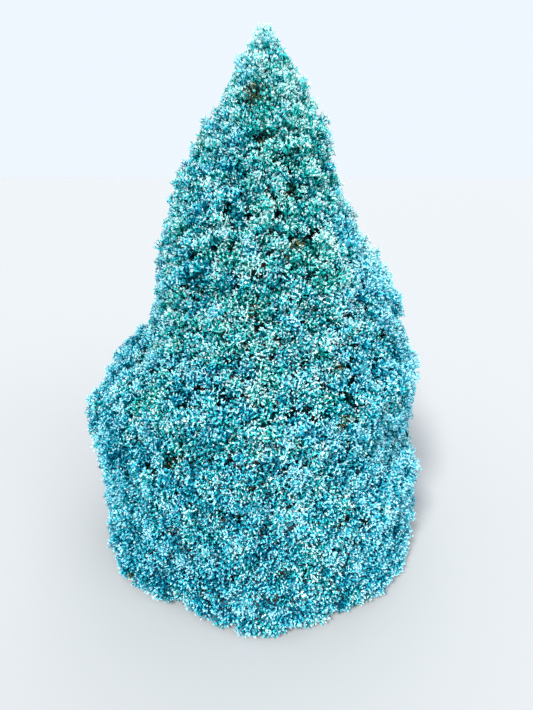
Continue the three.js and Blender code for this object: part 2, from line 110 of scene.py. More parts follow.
SKIRT_TOWARD = -55  # which is this azimuth, in degrees
TOES = {1: (0.07, 0.3), 8: (0.05, 0.6)}  # skirt masses that lie forward on the ground: how far, how wide
TIERS = (
    # name, masses, columns, rows, axis, edge, tilt, toward, turn, twist, bough radius, root low, root high
    ("skirt", 8, 2, 2, 0, 0, 0, 0, -88, 6, 0.0105, 0.078, 0.205),
    ("lower", 8, 2, 2, 0.255, 0.5, 0.035, -20, -66, -7, 0.01, 0.315, 0.47),
    ("middle", 7, 2, 2, 0.56, 0.945, 0.04, 10, -97, 8, 0.0085, 0.625, 0.79),
    ("upper", 5, 2, 1, 0.92, 1.345, 0.032, 200, -70, -6, 0, 0, 0),
    ("crest", 3, 2, 1, 1.27, 1.59, 0.038, 190, -35, 6, 0, 0, 0),
    ("leader", 1, 1, 1, 1.53, 1.765, 0.014, 20, 0, 0, 0, 0, 0),
)
TIER_FIELDS = "name masses columns rows axis edge tilt toward turn twist bough_radius root_low root_high"
TIERS = tuple(dict(zip(TIER_FIELDS.split(), row)) for row in TIERS)

# Trunk, boughs and stems, as in the solids, and the relief of their bark
TRUNK_TOP = 1.88
TRUNK_BEND = 0.009
TRUNK_COURSE = (
    # share of the trunk's height, and how far its middle lies towards +X and +Y there
    (0, 0, 0),
    (0.3, -TRUNK_BEND, TRUNK_BEND / 2),
    (0.62, TRUNK_BEND * 0.7, 0),
    (1, TIP_LEAN, 0),
)
BEND_ROUNDING = 0.2
TRUNK_FOOT_RADIUS = 0.034
TRUNK_TIP_RADIUS = 0.0035
TRUNK_TAPER = 0.85  # below 1, the trunk thins faster near the ground
TRUNK_SIDES, TRUNK_RINGS = 48, 220
RING_CROWDING = 1.05  # above 1, the trunk's rings crowd towards its flare
FLARE_RADIUS = 0.017
FLARE_HEIGHT = 0.075
FLARE_LOBES = 5
FLARE_SWELL = 0.16
BARK_RELIEF = 0.0022
BARK_WAVES = ((0.12, 0.6, 0.012, 3), (0.5, 0.4, 0.03, 4))  # strips and plates: stretch, share, size, seed
TRUNK_GRAIN, BOUGH_GRAIN, LIMB_GRAIN = 190, 240, 260  # how fine the bark's strips are, in waves a metre
STRIP_STRETCH = 0.16  # the same along the limb, as a share of that across it
FLAKE_GRAIN = 0.22
STRIP_SHARE = 0.75
BARK_STOPS = (0.36, 0.47, 0.58, 0.7)  # from the furrows to the worn ridges
BARK_WORN = (1.6, 0.03)  # how much paler the worn ridges are: times, and more
BARK_ROUGHNESS = (0.66, 0.3)  # at the least, and how much more on the ridges
BOUGH_SIDES, BOUGH_RINGS = 14, 26
BOUGH_END = 0.44  # share of the crown's radius where a bough ends in its mass
BOUGH_TIP_RADIUS = 0.0055
BOUGH_SWEEP = 0.026
BOUGH_SAG = 0.014
BOUGH_TAPER = 0.8
BOUGH_STRIDE = 4
BOUGH_RELIEF = (0.0007, 0.011, 9)  # depth, size and seed
STEM_END = 0.55
STEM_SAG = 0.012
STEM_ROOTS = (0.3, 0.4)  # where a stem leaves the trunk, by share of the tier, and its spread

# Limbs inside the masses, twigs to the clusters and stalks to the plumes
HUB_REACH = 0.62  # share of the crown's radius where a mass's limb parts into one for each lobe
HEART_REACH = 0.76  # and where those part into twigs
HEART_ASIDE = 0.9
LEADER_HEART = 0.3
LIMB_RADII = (0.0042, 0.0028)
LIMB_GRID = (6, 5)  # sides and rings
LIMB_SAG = 0.01
TWIG_RADII = (0.0024, 0.0013)
TWIG_GRID = (3, 3)
TWIG_KNEE = 0.6
TWIG_SAG = 0.02
TWIG_LOWEST = 0.01
STALK_RADII = (0.0011, 0.0005)
STALK_GRID = (3, 1)
STALK_KNEE = 0.75
STALK_END = 0.01
STALK_LOWEST = 0.005
STALK_COLOUR = (0.01, 0.13, 0.12)
STALK_GREENNESS = 0.6
ODD_WAY = (0.31, 0.17, 0.93)  # directions that no limb and no shoot takes
ODD_SHOOT = (0.2, 0.1, 0.97)

# Where the plumes are: in rows round the crown, on the ledges between tiers, and on the toes
HEM_DROP = 0.35  # how much lower the first row is, as a share of a row
ROW_CLOSER = 0.87
ROW_SCATTER = 0.45
ROW_KEYS = 40  # more than the rows of a tier
LEDGE_CLOSER = 0.6
LEDGE_SCATTER = 0.4
LEADER_CLOSER = 0.75
TOE_AREA = 0.43
TOE_HIGH = 0.4
SURFACE_STEP = 0.01
SEARCHES = 20  # the search for what lies nearest is made in this many parts
# The crown's surface swells, and clefts part its sprays: share, size and seed of each
SWELLS = ((0.25, 0.33, 11), (0.3, 0.13, 14))
CLEFTS = ((0.8, 0.21, 12), (0.75, 0.115, 13))
CLEFT_WIDTH = 0.42  # how wide a cleft opens, as a share of the swells beside it
CLEFT_FLATTER = 1.6
SLENDER = 0.2  # where the crown's radius is less than this, its swells and clefts fade
# Noise is the sum of a few crossed waves, each a little shorter than the last
NOISE_WAVES = 5
NOISE_PITCH = (0.75, 0.14)
NOISE_STARTS = 6.28
NOISE_HEIGHT = 2.6

# How plumes stand
GROWING_UP = ((0, 0), (0.12, 0.4), (0.5, 0.85), (1.5, 1.15), (1.8, 1.5), (TREE_HEIGHT, 3))  # height, lift
FAN_OUT = 0.5
WAY_SCATTER = 0.6
SINK = (0.028, 0.011)  # the range in which their tips end, and how much of it lies outside the crown
HIGH_SINK = (0.038, 0.021)  # the same higher up, where single plumes stand out
HIGH_SINK_BEND = 0.6
TIP_SINK = (0.014, 0.007)
HIGH_CHANGE = (1, 0.95, 0.25)  # full, start and span of the change from one range to the next
TIP_CHANGE = (1, 1.84, 0.06)
PLUME_SIZES = (0.75, 0.5)  # the least, and how much more
PLUME_ROLL = (500, 1.9)  # seed and width
LOWEST_NEEDLE = 0.003
NUDGE = 1e-6
SMALL_NUDGE = 1e-9

# One plume: shoots that end in tufts on a dome, and the rings of needles in a tuft
PLUME_FORMS = 12
PLUME_SHOOTS = 11
PLUME_DOME = 0.24
PLUME_RAGGED = 0.14
FIRST_SHOOT = 0.7
SHOOT_TURN = 0.3
SHOOT_STEEPNESS = (1.0, 1.5)
SHOOT_LOWEST = 0.1
# Painted shade: the shoots inside a plume and the tufts low on its dome are darker than the tips
SHOOT_PALENESS = 0.2
TUFT_LIFT = 0.4
TUFT_PALENESS = 0.95
DOME_DARKER = 1.2
# How many needles, their least and greatest lean, how far back they sit, how much brighter: the upright
# ring is paler with its bloom and a painted highlight, the spreading ring darker with painted shade
TUFT_RINGS = ((2, 12, 38, 0.3, 0.22), (2, 50, 74, 0.5, -0.26))
NEEDLE_SIZES = (0.85, 1.15)
NEEDLE_TWIST = 0.3
NEEDLE_FOLD = 0.45
NEEDLE_WIDEST = 0.42  # how far along a needle it is widest
GOLDEN_ANGLE = np.pi * (3 - 5**0.5)

# Hues of the plumes, and the levels of each. A level's numbers say how far its red, green and blue lie from
# the hue's palest colour towards its deepest. The darker levels are painted shade, and the palest is the
# tips' own pale bloom, partly painted highlight.
HUES = ("blue", "teal", "green", "dry")
BLUE, TEAL, GREEN, DRY = range(len(HUES))
LEVELS = (
    ("deep", (1.0, 1.0, 1.0)),
    ("mid", (0.78, 0.46, 0.46)),
    ("light", (0.4, 0.12, 0.12)),
    ("silver", (0.0, 0.0, 0.0)),
)
LEVEL_STEPS = (0.3, 0.5, 0.7)
# Where plumes are bluer: on the left and low down, in patches, and at the right edge, where the blue is a
# painted cast of skylight
BLUE_LEFT = 0.45
BLUE_LOW = 0.48
BLUE_HEIGHT = 0.9
BLUE_PATCHES = (0.22, 0.42, 21)  # strength, size and seed
BLUE_RIGHT = (0.55, 0.2, 0.25)  # full, start and span
BLUE_BY_CLUSTER = (71, 0.5)  # seed and width
BLUE_BY_PLUME = (72, 0.9)
BLUE_FROM = 0.12
TEAL_FROM = -0.4
# Where they are brighter or darker, with full, start and span where it changes over the crown. Brighter on
# the right and at the top and darker low down and on the left is painted light and painted shade.
TONE_PATCHES = (0.06, 0.16, 31)
TONE_BY_CLUSTER = (73, 0.12)
TONE_BY_PLUME = (74, 0.22)
# Painted light towards the right, fading out near the ground
BRIGHT_RIGHT = (0.04, -0.35, 0.5)
ABOVE_GROUND = (1, 0, 0.5)
# Painted shade low down and on the left
DARK_LOW = (0.07, 0.5, -0.4)
DARK_LEFT = (0.05, -0.1, -0.3)
# Painted light at the top of the crown
BRIGHT_TIP = (0.24, 1.78, 0.16)
BRIGHT_WAIST = (0.045, 1.05, 0.35)  # strength, height and reach
BRIGHT_ALL = 0.037
# Painted shade on plumes that sit deep and in the clefts
SUNK_DARKER = 0.12
CLEFT_DARKER = 0.17
# How much the tone differs within a plume, from shoot to shoot and from needle to needle
PLUME_CONTRAST = 0.63
SHOOT_CONTRAST = 0.56
NEEDLE_CONTRAST = 0.3
SHOOT_KEYS = 20  # more than the shoots of a plume
# Small patches of dry, sunken plumes, more of them near the top
DRY_PATCHES = (0.13, 51)  # size and seed
DRY_ABOVE = (0.22, 1.1, 0.3)
DRY_FROM = 1.22
DRY_MIXED = (77, 0.25)
DRY_DEPTH = 0.02
LIVE_IN_DRY = 0.4  # share of needles that are still green in a dry plume

# Older foliage in the shade behind the plumes, in sprays of loose flakes. Their near-black teal is painted
# shade that fills the crown; the olive and dead brown flakes keep the foliage's own colours.
INNER_FLAKES = 13
INNER_DEPTHS = (0.055, 0.16)
INNER_WIDE = 0.3  # crown radius from which the sprays lie at their full depth
INNER_SHALLOW = 0.3  # and the least share of it
INNER_SCATTER = 0.02
INNER_WAYS = (0.4, 0.8, 0.3)  # how much a flake leans outwards, at random and upwards
FLAKE_SIZES = (0.7, 1.2)
FLAKE_GROWTH = (0.8, 4)  # its size at the surface, and how much more for each metre inwards
FLAKE_WIDEST = 0.45
FLAKE_WIDTH = 0.17
FLAKE_FOLD = 0.08
INNER_MARGIN = (0.3, 0.02, 0.055)  # as a share of the crown's radius, at the least and at the most
INNER_LOWEST = 0.004
OLD_PATCHES = (0.3, 41)
OLD_MIXED = 0.5
OLD_IN_DRY, OLD_ELSEWHERE = 0.8, -0.2
OLIVE_FROM = 1.05
DEAD_FROM = 1.3

# Seeds, one for each thing that is dealt out by chance
CHANCE_STEPS = (127.1, 311.7)
CHANCE_SPREAD = 43758.5453
WAVE_SEEDS = (7, 50)
LOBE_SEEDS = (2, 3)
SWEEP_SEED, ROOT_SEED = 5, 6
TOE_SEEDS = (41, 42)
WAY_SEED, SIZE_SEED, DEPTH_SEED = 100, 200, 300
FORM_SEED, PLUME_SEED = 70, 100
SHOOT_SEED, NEEDLE_SEED, LIVE_SEED = 75, 85, 95
INNER_SEED = 5


def metres(name, description, default, least=0.0):
    """A length that a user can change."""
    return FloatProperty(name=name, description=description, default=default, min=least, unit="LENGTH")


def tint(name, description, default):
    """A colour that a user can change."""
    return FloatVectorProperty(name=name, description=description, default=default, subtype="COLOR", size=3)


class CypressSizes(bpy.types.PropertyGroup):
    cluster_spacing: metres("Cluster spacing", "Distance between the ends of the twigs", 0.08, 0.03)
    plume_spacing: metres("Plume spacing", "Distance between plumes", 0.032, 0.015)
    plume_length: metres("Plume length", "From a plume's foot to its tip", 0.066, 0.01)
    plume_spread: metres("Plume spread", "How far the side shoots reach from a plume's middle", 0.025)
    needle_length: metres("Needle length", "Length of one needle", 0.0096, 0.002)
    needle_width: metres("Needle width", "Width of one needle at its widest", 0.0048, 0.0005)
    shoot_width: metres("Shoot width", "Width of a side shoot with its closely pressed needles", 0.0065)
    billow: metres("Billow", "Depth of the broad hollows in the crown's surface", 0.02)
    inner_spacing: metres("Inner spacing", "Distance between sprays of old foliage", 0.04, 0.015)
    inner_flake: metres("Inner spray size", "Length of the old foliage's flakes", 0.028)


class CypressColours(bpy.types.PropertyGroup):
    # Each hue's tips colour is the tips' pale bloom, partly painted highlight; its depth colour is painted
    # shade
    blue: tint("Blue tips", "Palest tips of the bluer shoots", (0.52, 0.91, 1.0))
    blue_deep: tint("Blue depth", "Shaded needles of the bluer shoots", (0.0015, 0.115, 0.215))
    teal: tint("Teal tips", "Palest tips of the blue-green shoots", (0.76, 0.98, 1.0))
    teal_deep: tint("Teal depth", "Shaded needles of the blue-green shoots", (0.0015, 0.135, 0.185))
    green: tint("Green tips", "Palest tips of the greener shoots", (0.74, 0.98, 0.96))
    green_deep: tint("Green depth", "Shaded needles of the greener shoots", (0.0015, 0.145, 0.13))
    dry: tint("Dry tips", "Palest tips of the drying shoots", (0.2, 0.18, 0.07))
    dry_deep: tint("Dry depth", "Shaded needles of the drying shoots", (0.022, 0.008, 0.006))
    # Near-black teal of the older foliage inside: painted shade that fills the crown behind the plumes
    old_painted_shade: tint("Old foliage", "Shaded foliage inside the crown", (0.003, 0.055, 0.065))
    olive: tint("Olive foliage", "Yellowing shoots inside", (0.05, 0.10, 0.03))
    dead: tint("Dead foliage", "Brown dead shoots inside", (0.075, 0.034, 0.02))
    bark: tint("Bark", "Ridges of the bark", (0.23, 0.105, 0.055))
    furrow: tint("Bark furrows", "Furrows of the bark", (0.06, 0.025, 0.014))
    twig: tint("Twigs", "Bark of the young twigs", (0.022, 0.025, 0.02))
    floor: tint("Floor", "The floor it stands on", (0.42, 0.425, 0.43))


def user_values(context):
    return context.scene.cypress_sizes, context.scene.cypress_colours


# The crown's rule


def lerp(a, b, x):
    return a + (b - a) * x


def unit(v):
    return v / np.linalg.norm(v, axis=-1, keepdims=True)


def ramp(x, full, start, span):
    """Nothing up to the start, and evenly up to full over the span, which may run downwards."""
    return full * np.clip((x - start) / span, 0, 1)


def chance(a, b):
    """The same number between 0 and 1 every time for the same pair of numbers."""
    x = np.sin(np.asarray(a) * CHANCE_STEPS[0] + np.asarray(b) * CHANCE_STEPS[1]) * CHANCE_SPREAD
    return x - np.floor(x)


def scatter(a, b, width):
    """A chance number between minus and plus half the width."""
    return (chance(a, b) - 0.5) * width


def soft_noise(points, scale, seed):
    """Smooth noise between about -1 and 1, from a few crossed waves."""
    total = np.zeros(len(points))
    for k in range(NOISE_WAVES):
        way = np.array([chance(seed, WAVE_SEEDS[0] * k + j) * 2 - 1 for j in range(3)])
        way = way / np.linalg.norm(way)
        pitch = NOISE_PITCH[0] + NOISE_PITCH[1] * k
        start = NOISE_STARTS * chance(seed, WAVE_SEEDS[1] + k)
        total += np.sin(points @ way * (2 * np.pi / scale) * pitch + start)
    return total / NOISE_HEIGHT


def patches(points, strength, scale, seed):
    return strength * soft_noise(points, scale, seed)


def crown_radius(height):
    return np.interp(height, CROWN_HEIGHTS, CROWN_RADII)


def edge_height(level, azimuth):
    """How high the lower edge of a tier lies at the crown's surface."""
    if level >= len(TIERS):
        return np.full(np.shape(azimuth), TREE_HEIGHT)
    tier = TIERS[level]
    return tier["edge"] + tier["tilt"] * np.cos(azimuth - np.radians(tier["toward"]))


def surface_height(level, azimuth, t):
    """How high the crown's surface lies at a tier's azimuth and share of height."""
    return lerp(edge_height(level, azimuth), edge_height(level + 1, azimuth), t)


def axis_height(level, t, top):
    """The height on the tree's axis at a tier's share of height."""
    return lerp(TIERS[level]["axis"], TIERS[level + 1]["axis"] if level + 1 < len(TIERS) else top, t)


def crown_point(level, azimuth, t, s):
    """A point in a tier: its azimuth, share of the tier's height and share of the crown's radius."""
    edge_z = surface_height(level, azimuth, t)
    z = lerp(axis_height(level, t, TREE_HEIGHT - TIP_MARGIN), edge_z, s)
    r = s * crown_radius(edge_z)
    return np.stack([r * np.cos(azimuth) + TIP_LEAN * z / TREE_HEIGHT, r * np.sin(azimuth), z], axis=-1)


def make_masses():
    """The crown's masses from the ground up, counted from 1 over the whole crown and in each tier."""
    masses = []
    for level, tier in enumerate(TIERS):
        half = np.pi / tier["masses"]
        for i in range(tier["masses"]):
            mass = {**tier, "id": len(masses) + 1, "level": level, "number": i + 1}
            mass["half_angle"] = half
            mass["azimuth"] = np.radians(tier["turn"]) + i * 2 * half
            mass["toe"] = TOES.get(i + 1) if level == 0 else None
            masses.append(mass)
    return masses


def mass_azimuth(mass, u, t):
    """The azimuth at u, which goes from -1 to 1 across a mass, and t, its share of height."""
    return mass["azimuth"] + u * mass["half_angle"] + np.radians(mass["twist"]) * (t - 0.5)


def mass_point(mass, u, t, s):
    return crown_point(mass["level"], mass_azimuth(mass, u, t), t, s)


def mass_height(mass):
    return np.linalg.norm(mass_point(mass, 0.0, 1.0, 1.0) - mass_point(mass, 0.0, 0.0, 1.0))


def bulge(azimuth, height):
    """Broad swellings and hollows that wind round the crown, between -1 and 1."""
    waves = (np.sin(turns * azimuth + rise * height + start) for turns, rise, start in BULGE_WAVES)
    return sum(waves) / len(BULGE_WAVES)


def mass_reach(mass, u, t):
    """How far out a mass goes, as a share of the crown's radius."""
    azimuth = mass_azimuth(mass, u, t)
    height = surface_height(mass["level"], azimuth, t)
    sway = np.interp(height, CROWN_HEIGHTS, CROWN_SWAYS)
    reach = 1 + BULGE_DEPTH * bulge(azimuth, height)
    sides = EDGE_DIP * np.abs(u) ** 3 if mass["masses"] > 1 else 0
    under = UNDER_DIP * (1 - t) ** 3 if mass["level"] > 0 else 0
    spread = SKIRT_SPREAD * (1 - t) ** 3 if mass["level"] == 0 else 0
    facing = np.maximum(np.cos(azimuth - np.radians(SKIRT_TOWARD)), 0)
    front = SKIRT_FRONT * facing**4 * (1 - t) if mass["level"] == 0 else 0
    toe_reach, toe_width = mass["toe"] or (0, 1)
    toe = toe_reach * np.exp(-((u / toe_width) ** 2)) * (1 - t) ** 2
    return reach * (1 + sway * np.cos(azimuth)) * (1 - sides - under + spread + front) + toe


def lobes_of(mass):
    """The middles of a mass's lobes, row by row."""
    columns, rows = mass["columns"], mass["rows"]
    lobes = []
    for row in range(rows):
        for column in range(columns):
            key = mass["id"] * LOBE_KEYS + row * columns + column
            shift = (row - 0.5) * LOBE_SHIFT if rows > 1 else 0
            wander = LOBE_WANDER * (2 * chance(key, LOBE_SEEDS[0]) - 1)
            u = (2 * column + 1) / columns - 1 + shift + wander if columns > 1 else 0.0
            t = (row + 0.5) / rows + LOBE_STRAY / rows * (2 * chance(key, LOBE_SEEDS[1]) - 1)
            lobes.append({"u": float(u), "t": float(t)})
    return lobes


# Meshes


def mesh_object(name, vertices, faces):
    """A mesh object from an array of points and an array of triangles or quads."""
    vertices = np.ascontiguousarray(vertices, np.float32).reshape(-1, 3)
    faces = np.ascontiguousarray(faces, np.int32)
    corners = faces.shape[1]
    mesh = bpy.data.meshes.new(name)
    mesh.vertices.add(len(vertices))
    mesh.vertices.foreach_set("co", vertices.ravel())
    mesh.loops.add(faces.size)
    mesh.loops.foreach_set("vertex_index", faces.ravel())
    mesh.polygons.add(len(faces))
    mesh.polygons.foreach_set("loop_start", np.arange(0, faces.size, corners, dtype=np.int32))
    mesh.update(calc_edges=True)
    mesh.validate()
    obj = bpy.data.objects.new(name, mesh)
    bpy.context.scene.collection.objects.link(obj)
    return obj


def plant_piece(name, points, faces, nodes, slot_name, material, smooth=False):
    """A finished piece of the plant, in the place of some of the solids."""
    obj = mesh_object(name, points, faces)
    if smooth:
        obj.data.polygons.foreach_set("use_smooth", np.ones(len(obj.data.polygons), bool))
    obj.data.materials.append(material)
    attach(obj, "root")
    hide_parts(*nodes)


def foliage_piece(name, kites, colour):
    """One joined piece of four-cornered needles or flakes, each of two triangles."""
    faces = triangles(np.arange(len(kites) * 4).reshape(-1, 4))
    plant_piece(name, kites, faces, FOLIAGE_NODES, "foliage", needle_material(name, colour))


def triangles(quads):
    return np.concatenate([quads[:, [0, 1, 2]], quads[:, [0, 2, 3]]])


def columns_of(rows):
    return [np.array(column) for column in zip(*rows)]


def ring_quads(sides, rings):
    """The quads between one ring of points and the next, all the way along a tube."""
    i, j = np.meshgrid(np.arange(rings), np.arange(sides), indexing="ij")
    low = i * sides + j
    low_next = i * sides + (j + 1) % sides
    return np.stack([low, low_next, low_next + sides, low + sides], axis=-1).reshape(-1, 4)


def tubes(starts, knees, ends, radii_start, radii_end, sides, rings):
    """Tapering tubes along bent lines, open at their ends, all in one array of points and one of faces."""
    share = np.linspace(0, 1, rings + 1)[None, :, None]
    a, b, c = starts[:, None], knees[:, None], ends[:, None]
    centre = (1 - share) ** 2 * a + 2 * share * (1 - share) * b + share**2 * c
    along = unit(2 * (1 - share) * (b - a) + 2 * share * (c - b) + SMALL_NUDGE)
    side = unit(np.cross(along, np.array(ODD_WAY)))
    other = np.cross(along, side)
    radii_start = np.broadcast_to(radii_start, len(starts))[:, None]
    radii_end = np.broadcast_to(radii_end, len(starts))[:, None]
    radius = lerp(radii_start, radii_end, share[..., 0] ** BOUGH_TAPER)[..., None, None]
    angle = (2 * np.pi * np.arange(sides) / sides)[None, None, :, None]
    ring = side[:, :, None] * np.cos(angle) + other[:, :, None] * np.sin(angle)
    points = centre[:, :, None] + ring * radius
    base = (np.arange(len(starts)) * (rings + 1) * sides)[:, None, None]
    return points.reshape(-1, 3), (ring_quads(sides, rings) + base).reshape(-1, 4)


# Materials


class Socket:
    """A node's output that takes part in sums as a number would."""

    def __init__(self, shader, socket):
        self.shader = shader
        self.socket = socket

    def _math(self, operation, other):
        return self.shader.node("ShaderNodeMath", {"operation": operation}, {0: self, 1: other})

    def __add__(self, other):
        return self._math("ADD", other)

    def __mul__(self, other):
        return self._math("MULTIPLY", other)

    __radd__ = __add__
    __rmul__ = __mul__


class Shader:
    """A material and the one way its nodes are made."""

    def __init__(self, name, **constants):
        self.material = bpy.data.materials.new(name)
        self.material.use_nodes = True
        self.tree = self.material.node_tree
        self.surface = self.tree.nodes["Principled BSDF"]
        for socket, value in constants.items():
            self.surface.inputs[socket.replace("_", " ")].default_value = value

    def node(self, kind, settings=None, values=None, output=0):
        made = self.tree.nodes.new(kind)
        for key, value in (settings or {}).items():
            if key == "stops":
                ramp_stops = made.color_ramp.elements
                while len(ramp_stops) < len(value):
                    ramp_stops.new(1.0)
                for stop, (place, colour) in zip(ramp_stops, value):
                    stop.position = place
                    stop.color = (*colour, 1)
            else:
                setattr(made, key, value)
        for key, value in (values or {}).items():
            if isinstance(value, Socket):
                self.tree.links.new(value.socket, made.inputs[key])
            else:
                made.inputs[key].default_value = value
        return Socket(self, made.outputs[output])

    def feed(self, socket, value):
        self.tree.links.new(value.socket, self.surface.inputs[socket])


def needle_material(name, colour):
    return Shader(name, Base_Color=(*colour, 1), Roughness=0.8, Specular_IOR_Level=0.02).material


def bark_material(name, colours, scale):
    """Fibrous bark in thin strips that run up the limb, reddish on the ridges and dark in the furrows."""
    shader = Shader(name, Specular_IOR_Level=0.2)
    place = shader.node("ShaderNodeTexCoord", output="Object")
    stretched = shader.node(
        "ShaderNodeMapping", values={"Vector": place, "Scale": (scale, scale, scale * STRIP_STRETCH)}
    )
    strips = shader.node(
        "ShaderNodeTexNoise",
        values={"Vector": stretched, "Scale": 1.0, "Detail": 6.0, "Roughness": 0.6, "Distortion": 0.6},
    )
    flakes = shader.node(
        "ShaderNodeTexNoise", values={"Vector": place, "Scale": scale * FLAKE_GRAIN, "Detail": 4.0}
    )
    height = strips * STRIP_SHARE + flakes * (1 - STRIP_SHARE)
    worn = [min(1, BARK_WORN[0] * c + BARK_WORN[1]) for c in colours.bark]
    shades = (colours.furrow, colours.bark, colours.bark, worn)
    colour = shader.node("ShaderNodeValToRGB", {"stops": list(zip(BARK_STOPS, shades))}, {"Fac": height})
    shader.feed("Base Color", colour)
    shader.feed("Roughness", height * BARK_ROUGHNESS[1] + BARK_ROUGHNESS[0])
    bump = shader.node("ShaderNodeBump", values={"Height": height, "Strength": 0.5, "Distance": 0.004})
    shader.feed("Normal", bump)
    return shader.material


# Limbs


def trunk_centre(height):
    """The trunk's middle at a height: a gentle bow, then a lean towards the tip."""
    share, x, y = np.transpose(TRUNK_COURSE)
    stations = TRUNK_TOP * share
    return np.stack([np.interp(height, stations, x), np.interp(height, stations, y), height], axis=-1)


def smooth_trunk_centre(height):
    """The same, with its corners rounded."""
    spread = np.linspace(-BEND_ROUNDING, BEND_ROUNDING, 9)
    centre = np.mean([trunk_centre(np.clip(height + d, 0, TRUNK_TOP)) for d in spread], axis=0)
    centre[..., 2] = height
    return centre


def trunk_mesh():
    """The trunk with its lobed flare and the bark's relief, closed at the foot and at the tip."""
    sides, rings = TRUNK_SIDES, TRUNK_RINGS
    z = TRUNK_TOP * np.linspace(0, 1, rings + 1) ** RING_CROWDING
    angle = 2 * np.pi * np.arange(sides) / sides
    taper = lerp(TRUNK_FOOT_RADIUS, TRUNK_TIP_RADIUS, (z / TRUNK_TOP) ** TRUNK_TAPER)
    flare = np.exp(-z / FLARE_HEIGHT)
    radius = taper + FLARE_RADIUS * flare
    lobed = 1 + FLARE_SWELL * flare[:, None] * np.cos(FLARE_LOBES * angle)[None, :]
    x, y, level = np.broadcast_arrays(np.cos(angle)[None, :], np.sin(angle)[None, :], z[:, None])
    around = np.stack([x * TRUNK_FOOT_RADIUS, y * TRUNK_FOOT_RADIUS, level], axis=-1).reshape(-1, 3)
    waves = sum(patches(around * [1, 1, stretch], *wave) for stretch, *wave in BARK_WAVES)
    relief = BARK_RELIEF * waves.reshape(rings + 1, sides) * (taper / TRUNK_FOOT_RADIUS)[:, None]
    full = radius[:, None] * lobed + relief
    centre = smooth_trunk_centre(z)
    walls = np.stack([centre[:, None, 0] + full * x, centre[:, None, 1] + full * y, level], axis=-1)
    points = np.concatenate([walls.reshape(-1, 3), [[0, 0, 0]], centre[-1:]])
    k = np.arange(sides)
    foot, tip = (rings + 1) * sides, (rings + 1) * sides + 1
    under = np.stack([(k + 1) % sides, k, np.full(sides, foot)], -1)
    top = np.stack([rings * sides + k, rings * sides + (k + 1) % sides, np.full(sides, tip)], -1)
    return points, np.concatenate([triangles(ring_quads(sides, rings)), under, top])


def bough_line(mass):
    """Root, knee and end of a mass's bough, or of the stem that takes its place."""
    if mass["bough_radius"]:
        order = (mass["number"] * BOUGH_STRIDE) % mass["masses"] / (mass["masses"] - 1)
        leaves = lerp(mass["root_low"], mass["root_high"], order)
        reach, sag = BOUGH_END, BOUGH_SAG
        wander = BOUGH_SWEEP * (2 * chance(mass["id"], SWEEP_SEED) - 1)
    else:
        share = STEM_ROOTS[0] + STEM_ROOTS[1] * chance(mass["id"], ROOT_SEED)
        leaves = axis_height(mass["level"], share, TREE_HEIGHT)
        reach, sag = STEM_END, STEM_SAG
        wander = 0
    root = smooth_trunk_centre(np.array([leaves]))[0]
    end = mass_point(mass, 0.0, 0.5, reach)
    aside = np.array([-np.sin(mass["azimuth"]), np.cos(mass["azimuth"]), 0])
    knee = lerp(root, end, 0.5) + aside * wander - np.array([0, 0, sag])
    return root, knee, end


def limb_lines():
    """The limbs inside the masses, from their boughs to the hearts of their lobes, and those hearts."""
    lines, hearts = [], {}
    for mass in make_masses():
        if mass["masses"] == 1:
            hearts[mass["id"], 0] = mass_point(mass, 0.0, LEADER_HEART, 0.0)
            continue
        _, _, end = bough_line(mass)
        hub = mass_point(mass, 0.0, 0.5, HUB_REACH)
        lines.append((end, lerp(end, hub, 0.5), hub, BOUGH_TIP_RADIUS, LIMB_RADII[0]))
        for k, lobe in enumerate(lobes_of(mass)):
            reach = mass_reach(mass, lobe["u"], lobe["t"])
            heart = mass_point(mass, lobe["u"] * HEART_ASIDE, lobe["t"], reach * HEART_REACH)
            lines.append((hub, lerp(hub, heart, 0.5) - [0, 0, LIMB_SAG], heart, *LIMB_RADII))
            hearts[mass["id"], k] = heart
    return columns_of(lines), hearts


def kept_above(points, lowest):
    return np.stack([points[:, 0], points[:, 1], np.maximum(points[:, 2], lowest)], axis=-1)


# Where plumes stand


def held_at(masses, azimuth, t):
    """Which mass of a tier stands at an azimuth, and how far across it that is."""
    first = masses[0]
    twist = np.radians(first["turn"] + first["twist"] * (t - 0.5))
    place = (azimuth - twist) / (2 * first["half_angle"]) + 0.5
    return np.floor(place).astype(int) % len(masses), 2 * (place - np.floor(place)) - 1


def nearest_lobe(mass, u, t):
    """Which of a mass's lobes each place belongs to, and how far from its middle it is."""
    width = mass["half_angle"] * 2 * crown_radius(mass_point(mass, 0.0, 0.5, 1.0)[2])
    height = mass_height(mass)
    lobes = lobes_of(mass)
    apart = np.stack([np.hypot((u - lobe["u"]) * width / 2, (t - lobe["t"]) * height) for lobe in lobes])
    return apart.argmin(0), apart.min(0)


def surface_frames(mass, u, t, s):
    """Point and outward way of the crown's surface at each place."""
    point = mass_point(mass, u, t, s)
    aside = unit(mass_point(mass, u + SURFACE_STEP, t, s) - point)
    higher = mass_point(mass, u, np.clip(t + SURFACE_STEP, 0, 1.0), s)
    lower = mass_point(mass, u, np.clip(t - SURFACE_STEP, 0, 1.0), s)
    outward = unit(np.cross(aside, higher - lower))
    flip = np.sign((outward * (point * [1, 1, 0])).sum(-1, keepdims=True))
    return point, outward * np.where(flip == 0, 1, flip)


